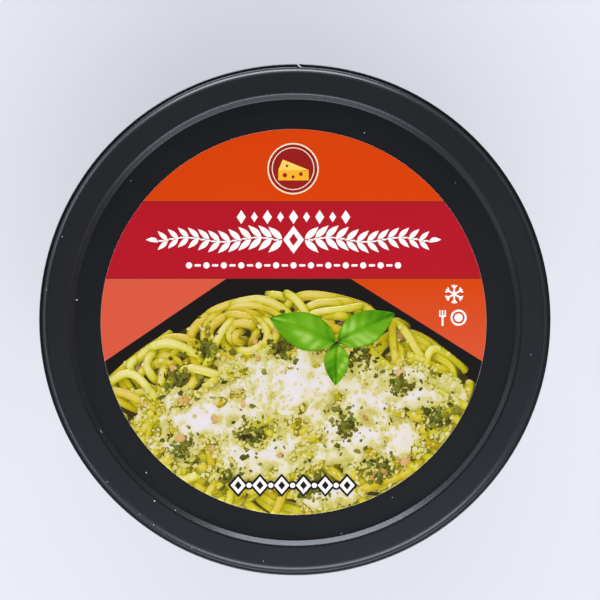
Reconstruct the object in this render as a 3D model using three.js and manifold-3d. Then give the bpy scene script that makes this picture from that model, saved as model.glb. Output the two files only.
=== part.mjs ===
// A shut round tub of grated parmesan: a tapered tub, the press-on lid that grips its rim, and the
// round paper label stuck in the lid's sunken panel. All three are black or printed and can't be
// seen into, so the tub is solid up to the underside of the lid.
//
// Millimetres, +Z up. The origin is the centre of the base, on the surface that the tub stands on.
// The top of the label points towards +Y.

import * as THREE from "three";
import { mergeVertices } from "three/addons/utils/BufferGeometryUtils.js";
import Module from "manifold-3d";

// ---------------------------------------------------------------- driving dimensions

const SEGMENTS = 80; // sides of each round form
const FILLET_STEPS = { least: 2, perMillimetre: 2 }; // straight steps in each rounded corner
const PACK_HEIGHT = 52;
const FIT_GAP = 0.3; // free space left between the lid and the tub

const LID = {
  wall: 0.8,
  panelDepth: 1.3, // the panel lies this far below the flat ring, down a slope of 45 degrees
  panelRadius: 50.5,
  flatInnerRadius: 51.8, // the flat ring runs from here ...
  flatOuterRadius: 57.6, // ... to the shoulder's corner, before it is rounded
  shoulderFillet: 1.4,
  shoulderInnerRadius: 57.0, // the same corner on the inside
  edgeFillet: 0.5,
  skirtHeight: 7.2,
  skirtFootRadius: 58.3,
  flangeRadius: 59.2, // the widest part of the pack
  flangeHeight: 1.3,
  flangeFillet: 0.25,
  snapBead: 1.0, // the inner bead that catches under the tub's rim
};

// The tear start, a slot that runs in from the flange's edge. It lies at this angle round the lid,
// and leans this far from the radius.
const NOTCH = { angle: 89.4, lean: 45, width: 0.5, length: 1.2 };

const TUB = {
  footInnerRadius: 39.5,
  footOuterRadius: 44.4,
  footFillet: 2.6,
  baseLift: 1.4, // the middle of the base is raised by this much
  baseSlope: 1.0, // run of the step between the foot ring and the raised middle
  shoulderHeight: 38.5, // where the wall steps out, so that empty tubs don't jam together
  shoulderRise: 1.4,
  shoulderStep: 1.5,
  wallTopRadius: 52.4, // just under that step
  neckRadius: 54.6, // under the rim
  rimRadius: 56.8,
  rimInnerRadius: 53.0,
  rimHeight: 3.0,
  rimFillet: 0.9,
  edgeFillet: 0.5,
};

const LABEL = {
  radius: 44.3,
  thickness: 0.25,
  offset: new THREE.Vector2(-0.3, -0.5), // it is stuck on a little low and to the left
};

// ---------------------------------------------------------------- heights that follow from them

const lidTop = PACK_HEIGHT;
const panelTop = lidTop - LID.panelDepth;
const lidFoot = lidTop - LID.skirtHeight;
const tubRimTop = lidTop - LID.wall - FIT_GAP;
const tubRimFoot = tubRimTop - TUB.rimHeight;
const tubFillTop = panelTop - LID.wall - FIT_GAP;

// ---------------------------------------------------------------- shape helpers

// One corner of a turned outline: radius, height and how far the corner is rounded.
const corner = (radius, height, fillet = 0) => ({ at: new THREE.Vector2(radius, height), fillet });

// The points of one rounded corner, on the arc that touches both of its sides.
function roundedCorner(before, { at, fillet }, after) {
  const back = before.at.clone().sub(at).normalize();
  const ahead = after.at.clone().sub(at).normalize();
  const halfAngle = Math.acos(THREE.MathUtils.clamp(back.dot(ahead), -1, 1)) / 2;
  const reach = fillet / Math.tan(halfAngle);
  const toCentre = back.clone().add(ahead).normalize();
  const centre = at.clone().addScaledVector(toCentre, fillet / Math.sin(halfAngle));
  const start = at.clone().addScaledVector(back, reach).sub(centre);
  const end = at.clone().addScaledVector(ahead, reach).sub(centre);
  const sweep = Math.atan2(start.cross(end), start.dot(end));
  const steps = Math.max(FILLET_STEPS.least, Math.round(fillet * FILLET_STEPS.perMillimetre));
  return Array.from({ length: steps + 1 }, (_, step) =>
    start.clone().rotateAround(new THREE.Vector2(), (sweep * step) / steps).add(centre),
  );
}

// The outline through a list of corners, with each rounded corner replaced by its arc.
const outline = (corners) =>
  corners.flatMap((c, i) =>
    c.fillet > 0 ? roundedCorner(corners[i - 1], c, corners[i + 1]) : [c.at],
  );

// A solid of revolution about +Z. The outline starts and ends on the axis.
function turned(corners) {
  return new THREE.LatheGeometry(outline(corners), SEGMENTS).rotateX(Math.PI / 2);
}

// ---------------------------------------------------------------- booleans

const wasm = await Module();
wasm.setup();

function toManifold(geometry) {
  const bare = new THREE.BufferGeometry().setIndex(geometry.index);
  bare.setAttribute("position", geometry.getAttribute("position"));
  const merged = mergeVertices(bare, 1e-3);
  const vertProperties = merged.getAttribute("position").array;
  const triVerts = new Uint32Array(merged.index.array);
  return new wasm.Manifold(new wasm.Mesh({ numProp: 3, vertProperties, triVerts }));
}

function subtract(geometry, cutter) {
  const { vertProperties, triVerts } = toManifold(geometry).subtract(toManifold(cutter)).getMesh();
  const cut = new THREE.BufferGeometry();
  cut.setAttribute("position", new THREE.BufferAttribute(vertProperties, 3));
  cut.setIndex(new THREE.BufferAttribute(triVerts, 1));
  cut.computeVertexNormals();
  return cut;
}

// ---------------------------------------------------------------- the three pieces

// The tub: a foot ring round a raised base, a tapering wall, a stacking shoulder and a thick rim.
function tubGeometry() {
  const shoulderTop = TUB.shoulderHeight + TUB.shoulderRise;
  return turned([
    corner(0, TUB.baseLift),
    corner(TUB.footInnerRadius - TUB.baseSlope, TUB.baseLift, TUB.edgeFillet),
    corner(TUB.footInnerRadius, 0, TUB.edgeFillet),
    corner(TUB.footOuterRadius, 0, TUB.footFillet),
    corner(TUB.wallTopRadius, TUB.shoulderHeight, TUB.edgeFillet),
    corner(TUB.wallTopRadius + TUB.shoulderStep, shoulderTop, TUB.edgeFillet),
    corner(TUB.neckRadius, tubRimFoot),
    corner(TUB.rimRadius, tubRimFoot, TUB.edgeFillet),
    corner(TUB.rimRadius, tubRimTop, TUB.rimFillet),
    corner(TUB.rimInnerRadius, tubRimTop, TUB.edgeFillet),
    corner(TUB.rimInnerRadius, tubFillTop),
    corner(0, tubFillTop),
  ]);
}

// The cutter for the tear start. It is centred on the flange's edge, and taller than the flange.
function notchCutter() {
  const cutter = new THREE.BoxGeometry(2 * NOTCH.length, NOTCH.width, 2 * LID.flangeHeight);
  cutter.rotateZ(THREE.MathUtils.degToRad(NOTCH.lean));
  cutter.translate(LID.flangeRadius, 0, lidFoot + LID.flangeHeight / 2);
  return cutter.rotateZ(THREE.MathUtils.degToRad(NOTCH.angle));
}

// The lid: a thin cap. Its top dips to the sunken panel, and its skirt flares down to a flange.
function lidGeometry() {
  const flangeTop = lidFoot + LID.flangeHeight;
  const skirtInside = LID.skirtFootRadius - LID.wall;
  const beadHeight = tubRimFoot - FIT_GAP - LID.snapBead;
  const underFlat = lidTop - LID.wall;
  const slope = Math.atan2(LID.panelDepth, LID.flatInnerRadius - LID.panelRadius);
  const underShift = LID.wall * Math.tan(slope / 2); // keeps the wall as thick on the slope
  return turned([
    corner(0, panelTop - LID.wall),
    corner(LID.panelRadius + underShift, panelTop - LID.wall, LID.edgeFillet),
    corner(LID.flatInnerRadius + underShift, underFlat, LID.flangeFillet),
    corner(LID.shoulderInnerRadius, underFlat, LID.edgeFillet),
    corner(skirtInside, beadHeight + LID.snapBead),
    corner(skirtInside - LID.snapBead, beadHeight, LID.flangeFillet),
    corner(skirtInside, beadHeight - LID.snapBead),
    corner(skirtInside, lidFoot),
    corner(LID.flangeRadius, lidFoot, LID.flangeFillet),
    corner(LID.flangeRadius, flangeTop, LID.flangeFillet),
    corner(LID.skirtFootRadius, flangeTop, LID.flangeFillet),
    corner(LID.flatOuterRadius, lidTop, LID.shoulderFillet),
    corner(LID.flatInnerRadius, lidTop, LID.edgeFillet),
    corner(LID.panelRadius, panelTop, LID.edgeFillet),
    corner(0, panelTop),
  ]);
}

// The label: a thin round sheet, stuck flat on the panel.
function labelGeometry() {
  const sheet = turned([
    corner(0, panelTop),
    corner(LABEL.radius, panelTop),
    corner(LABEL.radius, panelTop + LABEL.thickness),
    corner(0, panelTop + LABEL.thickness),
  ]);
  return sheet.translate(LABEL.offset.x, LABEL.offset.y, 0);
}

// ---------------------------------------------------------------- materials and the group

const blackPlastic = new THREE.MeshStandardMaterial({ color: 0x26282b, roughness: 0.38 });
const tubPlastic = new THREE.MeshStandardMaterial({ color: 0x232427, roughness: 0.46 });
const printedPaper = new THREE.MeshStandardMaterial({ color: 0xc8321e, roughness: 0.32 });

function piece(name, geometry, material) {
  const mesh = new THREE.Mesh(geometry, material);
  mesh.name = name;
  return mesh;
}

const pack = new THREE.Group();
pack.name = "grated_parmesan_tub";
pack.add(
  piece("tub", tubGeometry(), tubPlastic),
  piece("lid", subtract(lidGeometry(), notchCutter()), blackPlastic),
  piece("label", labelGeometry(), printedPaper),
);

export default pack;
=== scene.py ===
# %% [markdown]
# # A shut tub of grated cheese
# The real thing is a tapered black tub with a press-on lid. The lid's middle is sunk, and a round
# printed label is stuck in it. Two things make it look real: thin bright lines where soft light
# catches the lid's small rounded edges, and a label that is busy with colour. So this lesson
# takes care over roundings first, and then builds the print up in layers, like cut paper.
#
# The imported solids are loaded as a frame. They say where everything goes, in metres, with +Z up
# and +Y towards the top of the label.

# %% Load the frame
import math
import random
from contextlib import contextmanager

import bmesh
import bpy
import numpy as np
from mathutils import Euler, Matrix, Vector, noise
from mathutils.bvhtree import BVHTree


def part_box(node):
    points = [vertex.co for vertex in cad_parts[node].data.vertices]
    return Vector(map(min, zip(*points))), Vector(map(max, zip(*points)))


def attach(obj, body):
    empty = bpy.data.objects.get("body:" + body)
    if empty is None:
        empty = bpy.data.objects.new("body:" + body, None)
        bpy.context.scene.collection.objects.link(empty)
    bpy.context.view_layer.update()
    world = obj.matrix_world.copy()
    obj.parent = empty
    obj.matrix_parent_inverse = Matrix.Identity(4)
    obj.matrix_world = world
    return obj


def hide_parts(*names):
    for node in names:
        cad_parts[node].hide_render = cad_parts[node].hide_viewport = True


MM = 0.001
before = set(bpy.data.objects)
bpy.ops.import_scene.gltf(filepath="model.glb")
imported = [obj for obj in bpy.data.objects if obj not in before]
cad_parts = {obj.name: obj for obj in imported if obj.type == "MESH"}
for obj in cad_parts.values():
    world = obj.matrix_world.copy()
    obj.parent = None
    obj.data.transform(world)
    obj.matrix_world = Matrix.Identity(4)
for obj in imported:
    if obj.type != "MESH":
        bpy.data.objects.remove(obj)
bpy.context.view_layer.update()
lid_low, lid_high = (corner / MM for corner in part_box("lid"))
_, tub_high = (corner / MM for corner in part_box("tub"))
label_low, label_high = (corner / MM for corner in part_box("label"))
label_middle = (label_low + label_high) / 2
print("frame nodes:", sorted(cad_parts), "lid", round(lid_high.x * 2, 1), "mm across")

# %% [markdown]
# ## Habits that repeat
# Blender's operators act on what is selected, in the mode that is on. A few small helpers keep
# that in order, so that the cells below can speak of shapes alone.

# %% Operator helpers
UPWARDS = Vector((0, 0, 1))
SAME_POINT = 1e-6  # metres: points closer than this are merged


def added(operator, **settings):
    """Adds an object by one of Blender's own operators, with nothing else selected."""
    bpy.ops.object.select_all(action="DESELECT")
    operator(**settings)
    return bpy.context.object


def select_only(*pieces):
    """Selects these pieces, and makes the first of them the active one."""
    bpy.ops.object.select_all(action="DESELECT")
    for piece in pieces:
        piece.select_set(True)
    bpy.context.view_layer.objects.active = pieces[0]


def named(piece, name):
    piece.name = piece.data.name = name
    return piece


@contextmanager
def editing():
    """Edit mode on the active object, with all of its mesh selected at first."""
    bpy.ops.object.mode_set(mode="EDIT")
    bpy.ops.mesh.select_all(action="SELECT")
    yield
    bpy.ops.object.mode_set(mode="OBJECT")


def close_skin():
    """In edit mode, merges points that coincide and turns all faces outwards."""
    bpy.ops.mesh.select_all(action="SELECT")
    bpy.ops.mesh.remove_doubles(threshold=SAME_POINT)
    bpy.ops.mesh.normals_make_consistent(inside=False)


def draw_out(depth):
    """In edit mode, gives the selected sheet a depth in millimetres, which closes it."""
    bpy.ops.mesh.extrude_region_move(TRANSFORM_OT_translate={"value": depth * MM * UPWARDS})
    bpy.ops.mesh.select_all(action="SELECT")
    bpy.ops.mesh.normals_make_consistent(inside=False)


def apply_modifier(piece, kind, **settings):
    """Adds a modifier, sets it and applies it at once."""
    select_only(piece)
    bpy.ops.object.modifier_add(type=kind)
    modifier = piece.modifiers[-1]
    for setting, value in settings.items():
        setattr(modifier, setting, value)
    bpy.ops.object.modifier_apply(modifier=modifier.name)


print("operator helpers ready")

# %% [markdown]
# ## Seeing it as the photo does
# The photo was taken square on to the lid, from about 0.6 m away, a little up and to the right of
# its middle. With the tub on its base that is a camera which looks straight down. Its lens follows
# from the distance and from how much of the lid's plane fits across the picture.

# %% The camera
CAMERA_ABOVE_LID = 600.0
CAMERA_ASIDE = Vector((1.19, 4.55, 0))  # to the right of the lid's middle, and up the label
PICTURE_WIDTH = 137.5  # millimetres of the lid's plane across the picture
SENSOR = 36.0

camera_data = bpy.data.cameras.new("camera")
camera_data.sensor_width = SENSOR
camera_data.lens = SENSOR * CAMERA_ABOVE_LID / PICTURE_WIDTH
camera = bpy.data.objects.new("camera", camera_data)
camera.location = (CAMERA_ASIDE + (lid_high.z + CAMERA_ABOVE_LID) * UPWARDS) * MM
bpy.context.scene.collection.objects.link(camera)
bpy.context.scene.camera = camera
print("lens", round(camera_data.lens, 1), "mm")

# %% [markdown]
# ## The studio
# Black plastic shows nothing but what it mirrors. Its flat parts mirror the space round the
# camera, so that space stays dim, and two soft boxes stand aside: the main one low beyond the top
# of the label, which was overhead in the photo, and a fill on the opposite side, higher up. The
# floor is plain and pale. It isn't mirrored in the plastic, whose skirt would otherwise lose the
# dark edge that it has in the photo, where nothing pale was close behind it.

# %% Floor and lights
LIGHTS_AIM = Vector((0, 0, 40))
FLOOR_WIDTH = 6000


def soft_box(name, place, size, watts):
    """A rectangular light at a place in millimetres, turned towards the pack."""
    light = bpy.data.lights.new(name, "AREA")
    light.shape = "RECTANGLE"
    light.size, light.size_y = (side * MM for side in size)
    light.energy = watts
    lamp = bpy.data.objects.new(name, light)
    lamp.location = Vector(place) * MM
    towards = LIGHTS_AIM - Vector(place)
    lamp.rotation_euler = towards.to_track_quat("-Z", "Y").to_euler()
    bpy.context.scene.collection.objects.link(lamp)


soft_box("main_box", place=(-90, 760, 140), size=(740, 340), watts=12)
soft_box("fill_box", place=(90, -600, 345), size=(900, 330), watts=8.3)

bpy.context.scene.view_settings.view_transform = "Standard"

floor_grid = {"x_subdivisions": 2, "y_subdivisions": 2, "size": FLOOR_WIDTH * MM}
floor = added(bpy.ops.mesh.primitive_grid_add, **floor_grid)
floor.name = "floor"
floor.visible_glossy = False

# %% [markdown]
# ## A way to write finishes
# A finish is a small network of shader nodes. Written out node by node it is hard to read, so one
# class wraps a node's output and lets Python's own signs add the Math nodes: 1 - mask is a node
# that subtracts. Every other node comes from a single method.

# %% The finish writer
class Wire:
    """An output of a shader node. Signs between wires and numbers add Math nodes."""

    def __init__(self, finish, socket):
        self.finish = finish
        self.socket = socket

    def maths(self, operation, first, second):
        return self.finish.node("Math", {"operation": operation}, {0: first, 1: second})

    def __add__(self, other):
        return self.maths("ADD", self, other)

    def __radd__(self, other):
        return self.maths("ADD", other, self)

    def __sub__(self, other):
        return self.maths("SUBTRACT", self, other)

    def __rsub__(self, other):
        return self.maths("SUBTRACT", other, self)

    def __mul__(self, other):
        return self.maths("MULTIPLY", self, other)

    def __rmul__(self, other):
        return self.maths("MULTIPLY", other, self)

    def above(self, edge, softness):
        """0 below the edge and 1 above it, with a soft step between."""
        settings = {"interpolation_type": "SMOOTHSTEP"}
        inputs = {"Value": self, "From Min": edge - softness, "From Max": edge + softness}
        return self.finish.node("MapRange", settings, inputs)


class Finish:
    """A material in the making, round one Principled shader."""

    def __init__(self, name, **constants):
        self.material = bpy.data.materials.new(name)
        self.material.use_nodes = True
        self.tree = self.material.node_tree
        self.shader = self.tree.nodes["Principled BSDF"]
        for socket, value in constants.items():
            self.shader.inputs[socket.replace("_", " ")].default_value = value

    def node(self, kind, settings=None, inputs=None, output=0):
        """Adds a node. Its settings come first, because some of them change its sockets."""
        made = self.tree.nodes.new("ShaderNode" + kind)
        for name, value in (settings or {}).items():
            setattr(made, name, value)
        for name, value in (inputs or {}).items():
            if isinstance(value, Wire):
                self.tree.links.new(value.socket, made.inputs[name])
            else:
                made.inputs[name].default_value = value
        return Wire(self, made.outputs[output])

    def feed(self, socket, wire):
        """Links a wire to one of the shader's own sockets."""
        self.tree.links.new(wire.socket, self.shader.inputs[socket])

    def place(self):
        """Object coordinates, which are metres in the frame."""
        return self.node("TexCoord", output="Object")

    def axis(self, number, vector):
        """One part of a vector: 0, 1 or 2 for X, Y or Z."""
        return self.node("SeparateXYZ", None, {"Vector": vector}, output=number)

    def length(self, vector):
        return self.node("VectorMath", {"operation": "LENGTH"}, {0: vector}, output="Value")

    def noise(self, grain, detail=2.0, roughness=0.5, at=None):
        """Noise with features of about the grain's size in millimetres."""
        inputs = {"Scale": 1 / (grain * MM), "Detail": detail, "Roughness": roughness}
        return self.node("TexNoise", None, {"Vector": at or self.place(), **inputs})

    def blend(self, factor, first, second, kind="MIX"):
        """The first colour where the factor is 0. Where it is 1, the second is mixed in."""
        settings = {"data_type": "RGBA", "blend_type": kind}
        return self.node("Mix", settings, {0: factor, 6: first, 7: second}, output=2)

    def bump(self, height, depth, strength):
        """Feeds a Bump node to the shader's Normal. The depth is in millimetres."""
        inputs = {"Height": height, "Distance": depth * MM, "Strength": strength}
        self.feed("Normal", self.node("Bump", None, inputs))


def colour(red, green, blue):
    """A colour as a paint mixer reads it off a screen, 0 to 255, made linear for the shader."""
    shares = (part / 255 for part in (red, green, blue))
    linear = (s / 12.92 if s <= 0.04045 else ((s + 0.055) / 1.055) ** 2.4 for s in shares)
    return (*linear, 1.0)


print("finish writer ready")

# %% [markdown]
# ## The space round the studio
# The sky is written with the same class. It is pale at the horizon, where other views look, and
# dim overhead, where the flat plastic and the glossy print would mirror it as haze. Below the
# label it stays brighter higher up, as a white table top in front of the lid makes it. Two
# brighter stretches at the horizon, left of the label, stand for windows. In the photo they draw
# the lines of light on the left of the lid's shoulder and on the right of its slope.
# Each mask below is a soft step along one part of the direction that is looked in.

# %% Sky


class Sky(Finish):
    """The world's background, written as a finish is."""

    def __init__(self, name, tone):
        world = bpy.data.worlds.new(name)
        world.use_nodes = True
        bpy.context.scene.world = world
        self.tree = world.node_tree
        self.shader = self.tree.nodes["Background"]
        self.shader.inputs["Color"].default_value = tone

    def window(self, direction, degrees):
        """1 in a stretch of sky about 30 degrees wide, round one direction at the horizon."""
        turn = math.radians(degrees)
        inputs = {0: direction, 1: (math.cos(turn), math.sin(turn), 0.0)}
        facing = self.node("VectorMath", {"operation": "DOT_PRODUCT"}, inputs, output="Value")
        return facing.above(0.965, softness=0.03)


SKY_HORIZON = 2.4
SKY_WINDOWS = {150: 2.2, 210: 1.2}  # degrees round from the right, and how much brighter
SKY_BELOW = 0.3
SKY_SIDES = 0.34
SKY_OVERHEAD = 0.045
SKY_FRONT = 1.2

studio_sky = Sky("studio", (0.87, 0.92, 1.0, 1.0))
direction = studio_sky.node("TexCoord", output="Generated")
rightwards, backwards, upwards = (studio_sky.axis(number, direction) for number in range(3))
forwards = 0.0 - backwards
below = (0.0 - upwards).above(0.24, softness=0.08)
raised = upwards.above(0.06, softness=0.06)
overhead = upwards.above(0.72, softness=0.2)
in_front = (forwards + 0.25 * rightwards).above(0.2, softness=0.2)
to_the_right = rightwards.above(0.3, softness=0.5)
at_the_foot = forwards.above(0.8, softness=0.15)
at_horizon = (1.0 - raised) * (1.0 - below) * (1.0 - 0.7 * at_the_foot)
windows = sum(share * studio_sky.window(direction, turn) for turn, share in SKY_WINDOWS.items())
strength = (
    SKY_HORIZON * at_horizon * (1.0 - 0.45 * to_the_right) * (1.0 + windows)
    + SKY_BELOW * below * (1.0 - 0.5 * to_the_right)
    + SKY_SIDES * raised * (1.0 - overhead)
    + SKY_OVERHEAD * overhead
    + SKY_FRONT * overhead * in_front
)
studio_sky.feed("Strength", strength)
print("sky from", SKY_OVERHEAD, "overhead to", SKY_HORIZON, "at the horizon")

# %% [markdown]
# ## Floor paper
# A sheet of pale studio paper, a little blue and quite matt. Faint large clouds of tone keep it
# from looking like plain fill. It glows softly, as paper lit from all round does. The glow stops
# under the tub, which leaves a painted shadow there so that the tub stays rooted, and a little
# painted light is added beyond the top of the label. The glow grows far away, so that the paper
# runs into the pale horizon without an edge.

# %% Floor finish
FLOOR_GLOW = 0.42
PAINTED_GLOW_BEYOND_TOP = 0.09  # painted light added to the glow beyond the top of the label
GLOW_FAR = 1.1  # added far away
FLOOR_SHADE = 0.58  # how far the paper's own colour is darkened, as its glow lights it too


def paper_floor():
    """Pale glowing paper. Its soft steps lie at distances in metres."""
    finish = Finish("studio_paper", Roughness=0.75, Emission_Strength=1.2)
    clouds = finish.noise(grain=180)
    paper = finish.blend(clouds, colour(222, 224, 233), colour(228, 230, 238))
    place = finish.place()
    radius = finish.length(place)
    # No glow under the tub: a painted shadow round its foot.
    floor_outside_painted_shadow = radius.above(0.05, softness=0.012)
    # Painted light: the floor glows more beyond the top of the label.
    painted_light_beyond_top = finish.axis(1, place).above(0.05, softness=0.06)
    far = radius.above(1.3, softness=1.2)
    glow = floor_outside_painted_shadow * (FLOOR_GLOW + PAINTED_GLOW_BEYOND_TOP * painted_light_beyond_top + GLOW_FAR * far)
    finish.feed("Emission Color", finish.blend(glow, colour(0, 0, 0), paper))
    finish.feed("Base Color", finish.blend(FLOOR_SHADE, paper, colour(20, 20, 22)))
    return finish.material


floor.data.materials.append(paper_floor())
print("floor finished")

# %% [markdown]
# ## Turning an outline into a solid
# The tub, the lid and the label's paper are all round, so each starts as half of its cross
# section: a chain of corners. A real mould has no sharp corner, and every rounding here is what
# will catch the light, so each corner gets a vertex bevel of its own size before the chain is spun
# round the middle. Drawing the roundings first is exact, and easier than bevelling rings of edges
# on the finished solid.

# %% The turning helper
SPIN_STEPS = 192
ROUNDING_STEPS = 6


def select_nearest_point(piece, place):
    bpy.ops.mesh.select_all(action="DESELECT")
    mesh = bmesh.from_edit_mesh(piece.data)
    min(mesh.verts, key=lambda point: (point.co - place).length).select_set(True)
    bmesh.update_edit_mesh(piece.data)


def turned_solid(name, corners):
    """Spins a chain of (radius, height, rounding) corners, in millimetres, into a closed solid."""
    piece = named(added(bpy.ops.mesh.primitive_plane_add, size=MM), name)
    places = [Vector((radius, 0, height)) * MM for radius, height, _ in corners]
    with editing():
        bpy.ops.mesh.merge(type="CENTER")
        bpy.ops.transform.translate(value=places[0])
        for before, after in zip(places, places[1:]):
            bpy.ops.mesh.extrude_vertices_move(TRANSFORM_OT_translate={"value": after - before})
        for place, (_, _, rounding) in zip(places, corners):
            if rounding > 0:
                select_nearest_point(piece, place)
                bevel = {"offset": rounding * MM, "segments": ROUNDING_STEPS}
                bpy.ops.mesh.bevel(affect="VERTICES", **bevel)
        bpy.ops.mesh.select_all(action="SELECT")
        bpy.ops.mesh.spin(steps=SPIN_STEPS, angle=math.tau, center=(0, 0, 0), axis=(0, 0, 1))
        close_skin()
    bpy.ops.object.shade_smooth()
    return piece


def keep_flats_flat(piece):
    """Lets the large flat faces rule the shading, so that roundings don't smear across them."""
    apply_modifier(piece, "WEIGHTED_NORMAL")


print("turning helper ready")

# %% [markdown]
# ## The lid
# The lid is injection moulded, about 0.8 mm thick. From the middle outwards it has a sunken panel,
# a short slope up to a flat ring, a rounded shoulder, a skirt and a narrow flange. Under the
# skirt a bead snaps below the tub's rim. Its overall sizes come from the frame. The inner ones are
# those of the solid, but for a tenth or two of a millimetre at the edges of the slope and at the
# shoulder, where the photo's highlights lie a little further out.

# %% Turn the lid
LID_WALL = 0.8
PANEL_DEPTH = 1.3
PANEL_RADIUS = 50.68
RING_INNER_RADIUS = 51.88
RING_OUTER_RADIUS = 57.75
RING_FALL = 0.2  # the flat ring drops by this much towards its outer edge
SHOULDER_WALL = 0.6
SKIRT_FOOT_RADIUS = 58.3
FLANGE_HEIGHT = 1.3
SNAP_BEAD = 1.0
RIM_HEIGHT = 3.0  # of the tub's rim, which the bead catches
FIT_GAP = 0.3  # between the lid and the tub

slope_angle = math.atan2(PANEL_DEPTH, RING_INNER_RADIUS - PANEL_RADIUS)
under_shift = LID_WALL * math.tan(slope_angle / 2)  # keeps the wall as thick on the slope
panel_top = lid_high.z - PANEL_DEPTH
ring_under = lid_high.z - LID_WALL
flange_top = lid_low.z + FLANGE_HEIGHT
skirt_inside = SKIRT_FOOT_RADIUS - LID_WALL
bead_height = tub_high.z - RIM_HEIGHT - FIT_GAP - SNAP_BEAD

lid = turned_solid(
    "moulded_lid",
    [
        (0, panel_top - LID_WALL, 0),
        (PANEL_RADIUS + under_shift, panel_top - LID_WALL, 0.2),
        (RING_INNER_RADIUS + under_shift, ring_under, 0.2),
        (RING_OUTER_RADIUS - SHOULDER_WALL, ring_under, 0.3),
        (skirt_inside, bead_height + SNAP_BEAD, 0),
        (skirt_inside - SNAP_BEAD, bead_height, 0.3),
        (skirt_inside, bead_height - SNAP_BEAD, 0),
        (skirt_inside, lid_low.z, 0.15),
        (lid_high.x, lid_low.z, 0.25),
        (lid_high.x, flange_top, 0.3),
        (SKIRT_FOOT_RADIUS, flange_top, 0.25),
        (RING_OUTER_RADIUS, lid_high.z - RING_FALL, 1.35),
        (RING_INNER_RADIUS, lid_high.z, 0.34),
        (PANEL_RADIUS, panel_top, 0.12),
        (0, panel_top, 0),
    ],
)
print("lid:", len(lid.data.polygons), "faces")

# %% [markdown]
# The flange has one small flaw in its even round: a slanted slot beyond the top of the label,
# where a fingernail can start to lift the lid. A slim block is set across the flange and a Boolean
# modifier takes it away.

# %% Cut the slot
SLOT_ANGLE = math.radians(89.4)
SLOT_LEAN = math.radians(45)
SLOT_LENGTH = 2.1
SLOT_WIDTH = 0.38

slot_x = lid_high.x * math.cos(SLOT_ANGLE)
slot_y = lid_high.x * math.sin(SLOT_ANGLE)
slot_block = added(
    bpy.ops.mesh.primitive_cube_add,
    size=MM,
    location=Vector((slot_x, slot_y, lid_low.z + FLANGE_HEIGHT / 2)) * MM,
    rotation=(0, 0, SLOT_ANGLE + SLOT_LEAN),
    scale=(SLOT_LENGTH, SLOT_WIDTH, 2 * FLANGE_HEIGHT),
)
apply_modifier(lid, "BOOLEAN", object=slot_block)
bpy.data.objects.remove(slot_block)
keep_flats_flat(lid)
print("lid with its slot:", len(lid.data.polygons), "faces")

# %% [markdown]
# ## The tub
# Under the lid the tub is never seen from above, but from the side it is most of the pack. It
# stands on a foot ring, tapers so that empty tubs stack, steps out just under the rim so that they
# don't jam, and ends in a thick rim for the lid to grip. The pack is shut and black, so it is a
# closed solid up to the lid.

# %% Turn the tub
FOOT_INNER_RADIUS = 39.5
FOOT_OUTER_RADIUS = 44.4
BASE_LIFT = 1.4
BASE_SLOPE = 1.0
SHOULDER_HEIGHT = 38.5
SHOULDER_RISE = 1.4
SHOULDER_STEP = 1.5
WALL_TOP_RADIUS = 52.4
NECK_RADIUS = 54.6
RIM_INNER_RADIUS = 53.0

fill_top = panel_top - LID_WALL - FIT_GAP
rim_foot = tub_high.z - RIM_HEIGHT
tub = turned_solid(
    "moulded_tub",
    [
        (0, BASE_LIFT, 0),
        (FOOT_INNER_RADIUS - BASE_SLOPE, BASE_LIFT, 0.5),
        (FOOT_INNER_RADIUS, 0, 0.4),
        (FOOT_OUTER_RADIUS, 0, 2.1),
        (WALL_TOP_RADIUS, SHOULDER_HEIGHT, 0.3),
        (WALL_TOP_RADIUS + SHOULDER_STEP, SHOULDER_HEIGHT + SHOULDER_RISE, 0.3),
        (NECK_RADIUS, rim_foot, 0),
        (tub_high.x, rim_foot, 0.4),
        (tub_high.x, tub_high.z, 0.8),
        (RIM_INNER_RADIUS, tub_high.z, 0.4),
        (RIM_INNER_RADIUS, fill_top, 0),
        (0, fill_top, 0),
    ],
)
keep_flats_flat(tub)
print("tub:", len(tub.data.polygons), "faces")

# %% [markdown]
# ## Black satin plastic
# The plastic is carbon black all through, so its colour hardly varies. What varies is its skin:
# broad faint waves where the plastic shrank, a very faint grain left by the mould, and hair-thin
# rub marks. The waves and the grain go into a shallow bump, and the rub marks into the roughness,
# because that is what they change on the real lid. The flat ring has a duller skin than the panel,
# and what the plastic mirrors is a little blue, as in the photo.

# %% Black plastic finish
PLASTIC_MIRROR = (0.8, 0.87, 1.0, 1.0)
GRAIN_SHARE = 0.02  # of the waves' depth
SKIN_DEPTH = 0.05


def scaled(tone, share):
    return (*(part * share for part in tone[:3]), 1.0)


def dress(piece, material):
    piece.data.materials.clear()
    piece.data.materials.append(material)


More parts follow.
